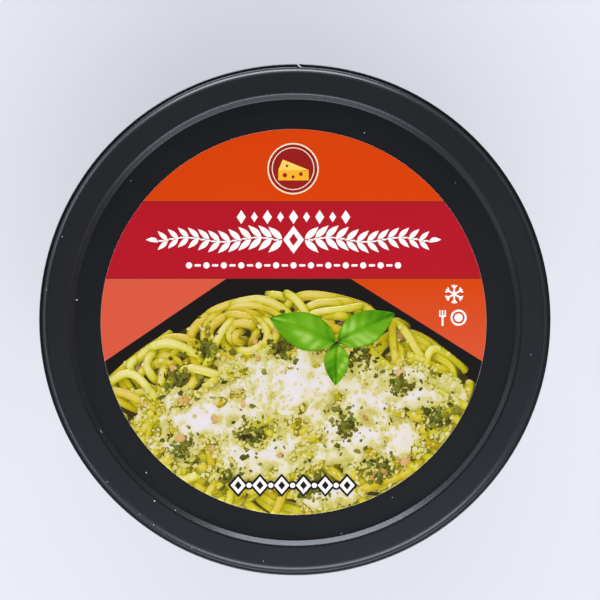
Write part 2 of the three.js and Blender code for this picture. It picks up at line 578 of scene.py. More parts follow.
def black_plastic(name, tone, gloss, rubs, dull_ring=0.0):
    """Satin plastic. A dull ring is how much rougher the lid's flat ring is than its panel."""
    finish = Finish(name, IOR=1.45, Specular_IOR_Level=0.55, Specular_Tint=PLASTIC_MIRROR)
    place = finish.place()
    haze = finish.noise(grain=22, detail=3, at=place)
    finish.feed("Base Color", finish.blend(haze, scaled(tone, 0.8), scaled(tone, 1.25)))

    stretched = finish.node("Mapping", None, {"Vector": place, "Scale": (1.0, 14.0, 1.0)})
    streaks = finish.noise(grain=9, detail=5, roughness=0.7, at=stretched)
    rubbed = streaks.above(0.62, softness=0.05)
    from_axis = finish.node("Mapping", None, {"Vector": place, "Scale": (1.0, 1.0, 0.0)})
    radius = finish.length(from_axis)
    outside_panel = radius.above((RING_INNER_RADIUS + 0.3) * MM, softness=0.2 * MM)
    on_shoulder = radius.above((RING_OUTER_RADIUS - 0.9) * MM, softness=0.3 * MM)
    on_ring = outside_panel * (1.0 - on_shoulder)
    finish.feed("Roughness", gloss + 0.05 * haze - rubs * rubbed + dull_ring * on_ring)

    grain = finish.noise(grain=0.16, at=place)
    waves = finish.noise(grain=16, detail=1, at=place)
    finish.bump(GRAIN_SHARE * grain + waves, depth=SKIN_DEPTH, strength=0.35)
    return finish.material


lid_skin = black_plastic("lid_plastic", colour(20, 20, 22), gloss=0.31, rubs=0.03, dull_ring=0.12)
tub_skin = black_plastic("tub_plastic", colour(24, 25, 27), gloss=0.4, rubs=0.04)
for piece, node, slot, skin in (
    (lid, "lid", "lid_plastic", lid_skin),
    (tub, "tub", "tub_plastic", tub_skin),
):
    dress(piece, skin)
    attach(piece, "root")
    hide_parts(node)
print("black plastic on lid and tub")

# %% [markdown]
# ## The label's paper
# A die-cut disc of coated paper. The print stops a hair short of the knife's cut, which leaves a
# very thin grey line round it.

# %% Turn the paper
PRINT_ROOM = 0.12  # what the sheets of print take of the label's height
PAPER_RADIUS = (label_high.x - label_low.x) / 2
PAPER_TOP = label_high.z - PRINT_ROOM

paper = turned_solid(
    "label_paper",
    [
        (0, label_low.z, 0),
        (PAPER_RADIUS, label_low.z, 0),
        (PAPER_RADIUS, PAPER_TOP, 0.02),
        (0, PAPER_TOP, 0),
    ],
)
with editing():
    bpy.ops.transform.translate(value=(label_middle.x * MM, label_middle.y * MM, 0))
keep_flats_flat(paper)


def coated_paper():
    finish = Finish("label_paper", Roughness=0.4)
    fibres = finish.noise(grain=0.5, detail=4)
    finish.feed("Base Color", finish.blend(fibres, colour(186, 180, 178), colour(204, 198, 196)))
    return finish.material


dress(paper, coated_paper())
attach(paper, "root")
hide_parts("label")
print("paper", round(PAPER_RADIUS * 2, 1), "mm across, print starts at", round(PAPER_TOP, 2))

# %% [markdown]
# ## Print as cut paper
# The label's print is big fields of colour with small ornaments on them. Painting it as a texture
# would need a picture, so it is built the way a paper cut is: each colour is a sheet of its own,
# thinner than a hair, lying on the one below. A field is a disc that straight cuts trim down, and
# that keeps its outer edge truly round. Places are millimetres from the label's middle.

# %% Trim the colour fields
INK_STEP = 0.012  # the thickness of one sheet of colour
PRINT_RADIUS = PAPER_RADIUS - 0.04
FIELD_SIDES = 256
BAND_TOP = 27.75
BAND_FOOT = 9.9
EDGE_LINE = 0.35  # of the band's darker edge that shows above and below it
LEFT_SLOPE = (Vector((-15.5, BAND_FOOT)), Vector((-43.0, -8.8)))
RIGHT_SLOPE = (Vector((13.2, BAND_FOOT)), Vector((43.6, -9.2)))
UP, DOWN, LEFT, RIGHT = (0, 1), (0, -1), (-1, 0), (1, 0)


def on_label(x, y, layer, height=0.0):
    """A place on the label in metres, or this far above it. Layer 0 lies on the paper."""
    foot = Vector((label_middle.x + x, label_middle.y + y, PAPER_TOP + layer * INK_STEP)) * MM
    return foot + height * MM * UPWARDS


def thicken(piece, name):
    """Turns a flat shape into a sheet one step thick, with its place in its mesh."""
    with editing():
        draw_out(INK_STEP)
    bpy.ops.object.transform_apply(location=True, rotation=True, scale=True)
    return named(piece, name)


def colour_field(name, layer, *cuts):
    """A disc of colour. Each cut is a point on a line and the direction that is thrown away."""
    field = added(
        bpy.ops.mesh.primitive_circle_add,
        vertices=FIELD_SIDES,
        radius=PRINT_RADIUS * MM,
        fill_type="NGON",
        location=on_label(0, 0, layer),
    )
    with editing():
        for (x, y), away in cuts:
            bpy.ops.mesh.select_all(action="SELECT")
            place = on_label(x, y, layer)
            bpy.ops.mesh.bisect(plane_co=place, plane_no=(*away, 0), clear_outer=True)
    return thicken(field, name)


def level(height, away):
    """A cut straight across the label."""
    return (0, height), away


def below_slope(slope):
    """A cut along a slanted line, which throws away what lies below it."""
    along = (slope[1] - slope[0]).normalized()
    across = Vector((along.y, -along.x))
    return slope[0], across if across.y < 0 else -across


under_band = level(BAND_FOOT, UP)
band_cuts = (level(BAND_TOP - EDGE_LINE, UP), level(BAND_FOOT + EDGE_LINE, DOWN))
left_cuts = (under_band, ((0, 0), RIGHT), below_slope(LEFT_SLOPE))
right_cuts = (under_band, ((0, 0), LEFT), below_slope(RIGHT_SLOPE))

backdrop = colour_field("print_backdrop", 0)
upper_field = colour_field("print_upper_field", 1, level(BAND_TOP, DOWN))
band_edge = colour_field("print_band_edge", 1, level(BAND_TOP, UP), level(BAND_FOOT, DOWN))
band = colour_field("print_band", 2, *band_cuts)
left_corner = colour_field("print_left_corner", 1, *left_cuts)
right_corner = colour_field("print_right_corner", 1, *right_cuts)
print("six fields of colour, in sheets of", INK_STEP, "mm")

# %% [markdown]
# ## Printing inks
# Ink on coated paper is glossy and nearly even, but not quite: each colour is a screen of dots
# with a slow drift across the sheet. So an ink is two close colours, blended by broad noise and by
# a fine speckle at the size of the screen. The lower right corner fades from orange to a pinker
# tone, so its blend follows the height on the label instead.

# %% Ink finishes
INK_GLOSS = 0.32
INK_IOR = 1.3
SPECKLE_SHARE = 0.15


def ink(name, first, second, fade=None):
    """Two close colours, 0 to 255. A fade is the heights on the label of the first and second."""
    finish = Finish(name, Roughness=INK_GLOSS, IOR=INK_IOR)
    place = finish.place()
    speckle = finish.noise(grain=0.35, detail=1, at=place)
    if fade is None:
        drift = finish.noise(grain=24, detail=1, at=place)
    else:
        start, end = ((label_middle.y + height) * MM for height in fade)
        limits = {"Value": finish.axis(1, place), "From Min": start, "From Max": end}
        drift = finish.node("MapRange", None, limits)
    share = drift * (1 - SPECKLE_SHARE) + speckle * SPECKLE_SHARE
    finish.feed("Base Color", finish.blend(share, colour(*first), colour(*second)))
    return finish.material


def print_in(finish, *pieces):
    """Gives sheets of print their ink and says what they belong to."""
    for piece in pieces:
        dress(piece, finish)
        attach(piece, "root")


orange_ink = ink("orange_ink", (211, 60, 0), (207, 64, 1))
crimson_ink = ink("crimson_ink", (180, 21, 38), (167, 15, 30))
deep_crimson_ink = ink("deep_crimson_ink", (150, 38, 34), (140, 30, 28))
salmon_ink = ink("salmon_ink", (211, 86, 62), (206, 82, 56))
fading_ink = ink("fading_ink", (206, 64, 0), (208, 81, 47), fade=(9, -8))
black_ink = ink("black_ink", (24, 19, 18), (21, 18, 18))
white_ink = ink("white_ink", (250, 246, 244), (240, 232, 230))

print_in(black_ink, backdrop)
print_in(orange_ink, upper_field)
print_in(deep_crimson_ink, band_edge)
print_in(crimson_ink, band)
print_in(salmon_ink, left_corner)
print_in(fading_ink, right_corner)
print("inks on the six fields")

# %% [markdown]
# ## Small ornaments
# White ornaments stand where a label has its words: a laurel garland across the band, a row of
# lozenges above it, a row of beads below it, and two small signs in the corner. Each kind of mark
# is drawn once, flat and lying along X, and a stamp copies it to its places.

# %% Marks and the stamp


def disc_mark(radius, sides=20):
    circle = bpy.ops.mesh.primitive_circle_add
    return added(circle, vertices=sides, radius=radius * MM, fill_type="NGON")


def stretch_mark(mark, along, across):
    mark.scale = (along, across, 1)
    bpy.ops.object.transform_apply(location=False, rotation=False, scale=True)
    return mark


def lozenge_mark(length, width):
    return stretch_mark(disc_mark(0.5, sides=4), length, width)


def dash_mark(length, width):
    """A bar with round ends: a disc whose right half is pulled away along X."""
    mark = disc_mark(width / 2)
    for point in mark.data.vertices:
        side = 1 if point.co.x > 0 else -1
        point.co.x += side * (length - width) / 2 * MM
    return mark


def leaf_mark(length, width):
    """A leaf with two points. Its widest place is nearer to the stalk."""
    mark = stretch_mark(disc_mark(0.5, sides=24), length, length)
    for point in mark.data.vertices:
        share = min(max(point.co.x / (length * MM) + 0.5, 0.0), 1.0)
        half_width = width / 2 * MM * math.sin(math.pi * share**0.8)
        point.co.y = math.copysign(half_width, point.co.y)
    return mark


def joined(name, *pieces):
    select_only(*pieces)
    if len(pieces) > 1:
        bpy.ops.object.join()
    return named(pieces[0], name)


def stamp(name, layer, mark, places):
    """Copies a mark to (x, y, turn in degrees, size) places, as one piece."""
    copies = []
    for x, y, turn, size in places:
        copy = mark.copy()
        copy.data = mark.data.copy()
        copy.location = on_label(x, y, layer)
        copy.rotation_euler.z = math.radians(turn)
        copy.scale = (size, size, 1)
        bpy.context.scene.collection.objects.link(copy)
        copies.append(copy)
    bpy.data.objects.remove(mark)
    select_only(*copies)
    bpy.ops.object.transform_apply(location=True, rotation=True, scale=True)
    return thicken(joined(name, *copies), name)


def both_sides(places):
    """The same places again, mirrored to the left of the middle."""
    return places + [(-x, y, 180 - turn, size) for x, y, turn, size in places]


print("marks ready")

# %% Stamp the band
ORNAMENT_LAYER = 3
GARLAND_HEIGHT = 18.9
GARLAND_START = 4.2
GARLAND_END = 32.6
GARLAND_PITCH = 2.35
LEAF_LEAN = 42
LEAF_ASIDE = 1.55  # from the stem to a leaf's middle
STEM_START = 4.0
STEM_DASH = 1.2
STEM_DASHES = 24
LOZENGE_ROW = 24.1
BEAD_ROW = 13.0
BEAD_PITCH = 2.0

leaf_count = int((GARLAND_END - GARLAND_START) / GARLAND_PITCH)


def stem_height(x):
    """The stem sways up and down once in seven leaves."""
    return GARLAND_HEIGHT + 0.5 * math.sin((x - GARLAND_START) / GARLAND_PITCH * math.tau / 7)


def leaf_row(side):
    """Leaves above the stem (1) or below it (-1), smaller towards its end."""
    row = []
    for number in range(leaf_count):
        x = GARLAND_START + number * GARLAND_PITCH
        size = 1.0 - 0.3 * number / leaf_count
        row.append((x, stem_height(x) + side * LEAF_ASIDE * size, side * LEAF_LEAN, size))
    return both_sides(row)


stem_x = [STEM_START + STEM_DASH * number for number in range(STEM_DASHES)]
stem = both_sides([(x, stem_height(x), 0, 1) for x in stem_x])
tips = both_sides([(GARLAND_END, GARLAND_HEIGHT, 0, 1)])
star_place = [(0, GARLAND_HEIGHT, 0, 1)]
garland = joined(
    "print_garland",
    stamp("upper", ORNAMENT_LAYER, leaf_mark(4.2, 1.5), leaf_row(1)),
    stamp("lower", ORNAMENT_LAYER + 1, leaf_mark(4.2, 1.5), leaf_row(-1)),
    stamp("stem", ORNAMENT_LAYER + 2, dash_mark(STEM_DASH, 0.38), stem),
    stamp("tips", ORNAMENT_LAYER + 3, leaf_mark(2.6, 1.1), tips),
    stamp("star", ORNAMENT_LAYER, lozenge_mark(4.8, 6.4), star_place),
)
star_heart = stamp("print_star_heart", ORNAMENT_LAYER + 1, lozenge_mark(2.0, 2.8), star_place)

lozenge_places = [
    (x, LOZENGE_ROW, 0, 1 - 0.25 * (index % 2)) for index, x in enumerate(range(-12, 13, 3))
]
lozenges = stamp("print_lozenges", ORNAMENT_LAYER, lozenge_mark(2.1, 3.2), lozenge_places)

bead_places = [(BEAD_PITCH * number, BEAD_ROW, 0, 1) for number in range(-12, 13)]
beads = joined(
    "print_beads",
    stamp("beads", ORNAMENT_LAYER, disc_mark(0.72), bead_places[::2]),
    stamp("dashes", ORNAMENT_LAYER, dash_mark(1.5, 0.55), bead_places[1::2]),
)
print_in(white_ink, garland, lozenges, beads)
print_in(crimson_ink, star_heart)
print("garland of", 4 * leaf_count, "leaves on the band")

# %% [markdown]
# ## Medallion and signs
# A round medallion stands at the top, with a wedge of cheese on it. In the right corner two plain
# signs say to keep the pack cold and how to use it: a snow star, and a fork by a plate. A chain of
# outlined lozenges closes the foot of the label.

# %% Stamp the medallion
MEDALLION = (-0.1, 35.2)
MEDALLION_RADIUS = 5.9
MEDALLION_SIDES = 64
WEDGE_LENGTH = 7.0
WEDGE_X, WEDGE_Y = 0.0, 34.9

wine_ink = ink("wine_ink", (150, 28, 24), (138, 24, 24))
cream_ink = ink("cream_ink", (240, 224, 196), (232, 214, 184))
gold_ink = ink("gold_ink", (244, 178, 46), (238, 166, 38))
pale_gold_ink = ink("pale_gold_ink", (250, 206, 96), (246, 198, 84))
medallion_discs = (  # name, how far its edge is drawn in, ink
    ("print_medal_rim", 0.0, cream_ink),
    ("print_medal_field", 0.35, wine_ink),
    ("print_medal_line", 1.0, cream_ink),
    ("print_medal_heart", 1.22, wine_ink),
)
for layer, (name, inset, finish) in enumerate(medallion_discs, start=2):
    mark = disc_mark(MEDALLION_RADIUS - inset, MEDALLION_SIDES)
    print_in(finish, stamp(name, layer, mark, [(*MEDALLION, 0, 1)]))


def four_corners_mark(*corners):
    """A flat shape through four corners in millimetres, anticlockwise."""
    mark = disc_mark(0.5, sides=4)
    for point, (x, y) in zip(mark.data.vertices, corners):
        point.co.xy = (x * MM, y * MM)
    return mark


left, right = -WEDGE_LENGTH / 2, WEDGE_LENGTH / 2
wedge_roof = four_corners_mark((right, 0.0), (0.7 * left, 2.4), (left, 0.0), (0.8 * left, -0.2))
wedge_block = four_corners_mark((left, -1.15), (right, -1.15), (right, 1.15), (left, 1.15))
wedge_eyes = [  # places from the wedge's middle, and sizes
    (-2.0, -1.2, 1.0),
    (-0.1, -1.6, 0.7),
    (1.7, -0.95, 0.85),
    (-1.5, 0.95, 0.55),
]
eye_places = [(WEDGE_X + x, WEDGE_Y + y, 0, size) for x, y, size in wedge_eyes]
print_in(pale_gold_ink, stamp("print_wedge_top", 6, wedge_roof, [(WEDGE_X, WEDGE_Y, 0, 1)]))
print_in(gold_ink, stamp("print_wedge_side", 7, wedge_block, [(WEDGE_X, WEDGE_Y - 1.25, 0, 1)]))
print_in(wine_ink, stamp("print_wedge_eyes", 8, disc_mark(0.5), eye_places))
print("medallion", round(2 * MEDALLION_RADIUS, 1), "mm across")

# %% Stamp the signs and the foot chain
SNOW = Vector((36.9, 6.4))
FORK = (34.22, 1.0)
PLATE = (37.9, 1.0)
TINE_PITCH = 0.62
BARB_LEAN = 42
FOOT_ROW = -37.5
FOOT_PITCH = 2.5
FOOT_LAYER = 9  # above the picture of food


def off(x, y, distance, degrees):
    """The place at a distance and an angle from another one."""
    turn = math.radians(degrees)
    return x + distance * math.cos(turn), y + distance * math.sin(turn)


# Marks that cross lie on different sheets, because faces that coincide come out speckled.
snow_turns = [60 * arm + 30 for arm in range(6)]
sign_parts = [
    stamp("arm", 2 + arm, dash_mark(4.4, 0.42), [(*SNOW, turn, 1)])
    for arm, turn in enumerate(snow_turns[:3])
]
for layer, lean in ((5, -BARB_LEAN), (6, BARB_LEAN)):
    feet = [(*off(*SNOW, 1.35, turn), turn + lean) for turn in snow_turns]
    barbs = [(*off(x, y, 0.42, turn), turn, 1) for x, y, turn in feet]
    sign_parts.append(stamp("barbs", layer, dash_mark(1.05, 0.34), barbs))
fork_tines = [(FORK[0] + TINE_PITCH * side, FORK[1] + 1.0, 90, 1) for side in (-1, 0, 1)]
plate_place = [(*PLATE, 0, 1)]
sign_parts += [
    stamp("tines", 2, dash_mark(1.5, 0.3), fork_tines),
    stamp("fork_yoke", 3, dash_mark(1.6, 0.42), [(FORK[0], FORK[1] + 0.35, 0, 1)]),
    stamp("fork_stem", 4, dash_mark(2.4, 0.46), [(FORK[0], FORK[1] - 0.75, 90, 1)]),
    stamp("plate", 2, disc_mark(1.85, 32), plate_place),
]
print_in(white_ink, joined("print_signs", *sign_parts))
print_in(fading_ink, stamp("print_plate_well", 3, disc_mark(1.4, 32), plate_place))
print_in(white_ink, stamp("print_plate_heart", 4, disc_mark(0.95, 32), plate_place))

foot_places = [(-0.2 + FOOT_PITCH * number, FOOT_ROW, 0, 1) for number in range(-5, 6)]
foot_lozenges, foot_beads = foot_places[::2], foot_places[1::2]
chain_outline = joined(
    "print_chain_outline",
    stamp("outlines", FOOT_LAYER, lozenge_mark(4.8, 5.4), foot_lozenges),
    stamp("bead_outlines", FOOT_LAYER + 1, disc_mark(1.05), foot_beads),
)
chain = joined(
    "print_chain",
    stamp("lozenges", FOOT_LAYER + 2, lozenge_mark(3.5, 4.0), foot_lozenges),
    stamp("beads", FOOT_LAYER + 2, disc_mark(0.6), foot_beads),
)
hearts = stamp("print_chain_hearts", FOOT_LAYER + 3, lozenge_mark(1.6, 2.0), foot_lozenges)
print_in(black_ink, chain_outline)
print_in(white_ink, chain)
print_in(black_ink, hearts)
print("snow star, fork and plate, and a chain of", len(foot_places))

# %% [markdown]
# ## The picture of food
# The lower half of such a label is a photograph of what the cheese is for. Here it is a dish of
# our own: nests of thin pasta, a drift of grated cheese, a sprig and scattered herbs. Fields of
# flat colour would look like a drawing, so the dish is really modelled, at its printed size, and
# then pressed down to a relief as thin as the other print. Before it is pressed, each point is
# asked how much light reaches it, and that tone stays with it as ink.
#
# The strands come first. A strand is a NURBS path with a round bevel, made a mesh. A nest is a
# swirl of them, each turn starting somewhere else.

# %% Lay the strands
PICTURE_LAYER = 1
PICTURE_FOOT = PAPER_TOP + (PICTURE_LAYER + 1) * INK_STEP
HEAP_TOP = 7.6
HEAP_FALL = 21.0  # how much lower the dish's edge is at its two ends
HEAP_HALF_WIDTH = 43
HEAP_MIDDLE = -18  # where the dish is highest, on the label's middle line
HEAP_REACH = (46, 30)
HEAP_HEIGHT = 9.0
BASE_MARGIN = 2.2  # how far the dish's flat base stays under its edge
CUTTER_DEPTH = 80
STRAND_WIDTH = 2.15
ENDS_DIVE = 3.2
TIGHTENING = 0.84  # how much narrower a nest's last turn is than its first
POINT_SPACING = 5.5
NESTS = [  # x, y, reach, flatness, strands
    (-30.0, -11.5, 12.0, 0.72, 12),
    (-11.5, -3.5, 12.5, 0.78, 13),
    (8.5, -2.0, 13.0, 0.75, 13),
    (27.0, -11.5, 12.5, 0.8, 13),
    (-33.0, -26.0, 12.0, 0.75, 12),
    (33.0, -25.0, 12.0, 0.8, 12),
    (-20.0, -35.5, 13.0, 0.66, 12),
    (1.0, -37.5, 14.0, 0.6, 13),
    (22.0, -34.5, 13.0, 0.66, 12),
    (0.0, -19.0, 15.0, 0.8, 12),
]
STRAY_COUNT = 60
STRAY_POINTS = 8
picture_dice = random.Random(11)
roll = picture_dice.uniform


def heap_edge(x):
    """How far up the label the dish reaches."""
    return HEAP_TOP - HEAP_FALL * (x / HEAP_HALF_WIDTH) ** 2


def heap_height(x, y):
    """How high the dish stands above the paper, before it is pressed."""
    across = (x / HEAP_REACH[0]) ** 2
    down = ((y - HEAP_MIDDLE) / HEAP_REACH[1]) ** 2
    return HEAP_HEIGHT * max(0.0, 1.0 - 0.6 * (across + down))


def edge_cut(x):
    """A cut along the dish's edge at one place, for the base that it lies on."""
    fall = 2 * HEAP_FALL * x / HEAP_HALF_WIDTH**2
    return (x, heap_edge(x) - BASE_MARGIN), Vector((fall, 1)).normalized()


def keep_on_points(mesh, name, values):
    """Stores a number on each point of a mesh, for its finish to read."""
    mesh.attributes.new(name, "FLOAT", "POINT").data.foreach_set("value", values)


def strand(places, width, margin=0.0):
    """A strand along NURBS points (x, y, rise above the dish), kept below the dish's edge."""
    path = added(bpy.ops.curve.primitive_nurbs_path_add)
    spline = path.data.splines[0]
    spline.points.add(len(places) - len(spline.points))
    for point, (x, y, rise) in zip(spline.points, places):
        y = min(y, heap_edge(x) - STRAND_WIDTH / 2 - margin)
        point.co = (*on_label(x, y, PICTURE_LAYER, heap_height(x, y) + rise), 1.0)
    spline.use_endpoint_u = True
    spline.order_u = 4
    path.data.resolution_u = 5
    path.data.bevel_depth = width / 2 * MM
    path.data.bevel_resolution = 2
    path.data.use_fill_caps = True
    bpy.ops.object.convert(target="MESH")
    with editing():
        close_skin()
    piece = bpy.context.object
    keep_on_points(piece.data, "tint", [picture_dice.random()] * len(piece.data.vertices))
    return piece


def sunken(along):
    """Both ends of a strand dive under the others."""
    return ENDS_DIVE * abs(2 * along - 1) ** 6


def nest(x, y, reach, flatness, count):
    """A swirl of strands, the wide ones first and the tight ones on top."""
    strands = []
    lean = roll(-0.5, 0.5)
    for number in range(count):
        share = number / (count - 1)
        radius = reach * (1.0 - TIGHTENING * share) * roll(0.92, 1.1)
        start = roll(0, math.tau)
        sweep = roll(3.2, 5.6)
        drift_x = roll(-2.4, 2.4)
        drift_y = roll(-2.0, 2.0)
        opening = roll(0.75, 1.2)
        steps = 5 + int(sweep * radius / POINT_SPACING)
        places = []
        for step in range(steps):
            along = step / (steps - 1)
            angle = start + sweep * along
            grown = radius * (1 + (opening - 1) * along)
            out = Vector((grown * math.cos(angle), grown * math.sin(angle) * flatness))
            out.rotate(Matrix.Rotation(lean, 2))
            px = x + drift_x + out.x + roll(-0.5, 0.5)
            py = y + drift_y + out.y + roll(-0.5, 0.5)
            rise = 1.6 + 3.4 * share + 0.8 * math.sin(angle * 2 + start) - sunken(along)
            places.append((px, py, rise))
        strands.append(strand(places, STRAND_WIDTH * roll(0.88, 1.1), margin=0.9 * share))
    return strands


def stray():
    """A loose strand that wanders across the nests."""
    angle = roll(0, math.tau)
    x = roll(-38, 38)
    y = roll(-40, heap_edge(x) - 4)
    length = roll(16, 34)
    bow = roll(-9, 9)
    wave = roll(-4, 4)
    places = []
    for number in range(STRAY_POINTS):
        share = number / (STRAY_POINTS - 1)
        along = share - 0.5
        side = wave * math.sin(along * math.tau) + bow * (0.25 - along**2) * 2
        px = x + along * length * math.cos(angle) - side * math.sin(angle)
        py = y + along * length * math.sin(angle) * 0.85 + side * math.cos(angle)
        places.append((px, py, 5.4 - 2.5 * abs(along) - sunken(share)))
    return strand(places, STRAND_WIDTH * roll(0.85, 1.05))


def trim_to_print(pieces):
    """Cuts what crosses the print's round edge, and drops what lies outside it."""
    middle = on_label(0, 0, 0)
    cutter = added(
        bpy.ops.mesh.primitive_cylinder_add,
        vertices=FIELD_SIDES,
        radius=PRINT_RADIUS * MM,
        depth=CUTTER_DEPTH * MM,
        location=middle,
    )
    trim = {"operation": "INTERSECT", "solver": "MANIFOLD", "object": cutter}
    kept = []
    for piece in pieces:
        reaches = [(point.co.xy - middle.xy).length / MM for point in piece.data.vertices]
        if min(reaches) > PRINT_RADIUS:
            bpy.data.objects.remove(piece)
            continue
        if max(reaches) > PRINT_RADIUS:
            apply_modifier(piece, "BOOLEAN", **trim)
        kept.append(piece)
    bpy.data.objects.remove(cutter)
    return kept


dish_base = colour_field("print_dish_base", PICTURE_LAYER, *map(edge_cut, range(-42, 43, 7)))
swirls = [piece for place in NESTS for piece in nest(*place)]
strays = [stray() for _ in range(STRAY_COUNT)]
strands = joined("picture_strands", *trim_to_print(swirls + strays))
print("strands:", len(strands.data.polygons), "faces")

# %% [markdown]
# ## Grated cheese
# Finely grated cheese lies like dry snow: a soft sheet where it is deep, single crumbs where it
# thins out. The sheet is a grid draped over the strands, found by dropping a ray at each of its
# points, and lifted where a noise field says that cheese has gathered. Crumbs then fall on what is
# there. One crumb is modelled, and its copies are written straight into one mesh, because
# thousands of separate objects would be slow.

# %% Drape the cheese
SHEET_PITCH = 0.4
SHEET_HEIGHT = 50
SHEET_MIDDLE = -20
SHEET_THICKNESS = 1.5
SHEET_MARGIN = 0.2
SHEET_LIFT = 4.2  # above the dish, where no strand lifts it
CLING = 0.45  # how closely the sheet follows the strands
THINNEST = -0.35  # of what has gathered: the sheet ends here
RAY_START = 40
CHEESE_PATCHES = [  # x, y, reach across, reach up and down
    (4.0, -15.5, 19.0, 9.0),
    (-16.0, -20.5, 15.0, 6.5),
    (17.0, -26.0, 15.0, 7.0),
    (-7.0, -30.5, 14.0, 5.5),
    (27.0, -16.5, 8.0, 5.5),
    (-28.0, -29.0, 8.0, 4.0),
    (9.0, -40.0, 7.0, 2.6),
]


def cut_away(piece, bare):
    """Deletes bare points, loose ones, and those where two corners of the sheet only touch."""
    mesh = bmesh.from_edit_mesh(piece.data)
    unwanted = [point for point in mesh.verts if point.index in bare]
    while unwanted:
        bmesh.ops.delete(mesh, geom=unwanted, context="VERTS")
        unwanted = [
            point
            for point in mesh.verts
            if not point.link_faces or sum(edge.is_boundary for edge in point.link_edges) > 2
        ]
    loose_edges = [edge for edge in mesh.edges if edge.is_wire]
    bmesh.ops.delete(mesh, geom=loose_edges, context="EDGES")
    bmesh.update_edit_mesh(piece.data)


def tree_of(pieces):
    """A search tree over the faces of some pieces, for rays."""
    points = []
    faces = []
    for piece in pieces:
        first = len(points)
        points.extend(point.co.copy() for point in piece.data.vertices)
        faces.extend([first + index for index in face.vertices] for face in piece.data.polygons)
    return BVHTree.FromPolygons(points, faces)


def top_at(tree, x, y, bare):
    """The height of what lies at a place, or the bare height where nothing does."""
    hit = tree.ray_cast(on_label(x, y, PICTURE_LAYER, RAY_START), -UPWARDS)[0]
    return bare if hit is None else hit.z / MM - PICTURE_FOOT


def gathered(x, y):
    """How much cheese has gathered at a place: about 0 at the edge of a patch, 1 amid it."""
    amount = -1.0
    for patch_x, patch_y, across, down in CHEESE_PATCHES:
        reach = math.hypot((x - patch_x) / across, (y - patch_y) / down)
        amount = max(amount, 1.0 - reach)
    rough = noise.fractal(Vector((x / 7, y / 7, 3.1)), 0.9, 2.2, 5)
    holes = noise.noise(Vector((x / 3.4, y / 3.4, 8.4)))
    return 1.1 * amount + 0.7 * rough - 1.5 * max(0.0, holes - 0.1) + 0.07


strand_tree = tree_of([strands])
columns = int(2 * PRINT_RADIUS / SHEET_PITCH)
rows = int(SHEET_HEIGHT / SHEET_PITCH)
sheet_grid = {"x_subdivisions": columns, "y_subdivisions": rows, "size": MM}
sheet = added(bpy.ops.mesh.primitive_grid_add, **sheet_grid)
sheet.scale = (columns * SHEET_PITCH, rows * SHEET_PITCH, 1)
sheet.location = on_label(0, SHEET_MIDDLE, PICTURE_LAYER)
bpy.ops.object.transform_apply(location=True, rotation=False, scale=True)
bare = set()
soaked = []
for point in sheet.data.vertices:
    x = point.co.x / MM - label_middle.x
    y = point.co.y / MM - label_middle.y
    amount = gathered(x, y)
    draped = top_at(strand_tree, x, y, heap_height(x, y))
    bed = CLING * draped + (1 - CLING) * (heap_height(x, y) + SHEET_LIFT)
    lumps = 0.6 * noise.fractal(Vector((x / 2.1, y / 2.1, 0)), 0.9, 2.0, 3)
    point.co.z = (PICTURE_FOOT + bed + 3.0 * amount + lumps) * MM
    soaked.append(min(max(0.4 - 1.3 * amount, 0.0), 1.0))
    if amount < THINNEST or math.hypot(x, y) > PRINT_RADIUS - SHEET_MARGIN:
        bare.add(point.index)
keep_on_points(sheet.data, "tint", soaked)
with editing():
    cut_away(sheet, bare)
    bpy.ops.mesh.select_all(action="SELECT")
    draw_out(-SHEET_THICKNESS)
named(sheet, "picture_cheese")
print("cheese sheet:", len(sheet.data.polygons), "faces")

# %% [markdown]
# The crumb is an icosphere with its points knocked about. Every copy is turned, sized and
# stretched differently, so the same twenty faces never look alike. Herb flecks and nut bits are
# the same trick with other sizes.

# %% Scatter crumbs
CRUMB_COUNT = 3000
HERB_COUNT = 1300
BIT_COUNT = 22
CRUMB_ROUGHNESS = 0.35
HERB_SPREADS = (0.22, 0.22, 0.3, 0.3, 0.6)  # most flecks lie close together in clumps
# fmt: off
HERB_CLUSTERS = [  # x, y, reach
    (-27, -13, 6), (-20, -6, 5), (-3, -6, 5), (15, -8, 6), (24, -14, 5), (33, -22, 6),
    (12, -24, 6), (-10, -26, 6), (-26, -29, 6), (4, -38, 7), (-14, -36, 5), (20, -34, 6),
]
# fmt: on
numbers = np.random.default_rng(5)


def crumb_shape():
    """One crumb's points and faces. They are all that is kept of it."""
    crumb = added(bpy.ops.mesh.primitive_ico_sphere_add, subdivisions=1, radius=MM)
    with editing():
        bpy.ops.transform.vertex_random(offset=CRUMB_ROUGHNESS * MM, seed=4)
    points = np.array([point.co for point in crumb.data.vertices])
    faces = np.array([face.vertices[:] for face in crumb.data.polygons])
    bpy.data.objects.remove(crumb)
    return points, faces


def scatter(name, places, stretch, flatness, tilt):
    """Copies the crumb to (x, y, height, radius) places in label millimetres, as one mesh."""
    points = []
    tints = []
    for x, y, height, radius in places:
        grown = crumb_points * radius * numbers.uniform(1.0, stretch, 3) * (1, 1, flatness)
        turn = Euler(numbers.uniform(-1, 1, 3) * (tilt, tilt, math.pi)).to_matrix()
        middle = on_label(x, y, PICTURE_LAYER, height)
        points.append(grown @ np.array(turn).T + np.array(middle))
        tints.extend([numbers.random()] * len(crumb_points))
    links = [crumb_faces + len(crumb_points) * index for index in range(len(places))]
    mesh = bpy.data.meshes.new(name)
    mesh.from_pydata(np.concatenate(points).tolist(), [], np.concatenate(links).tolist())
    keep_on_points(mesh, "tint", tints)
    piece = bpy.data.objects.new(name, mesh)
    bpy.context.scene.collection.objects.link(piece)
    return piece


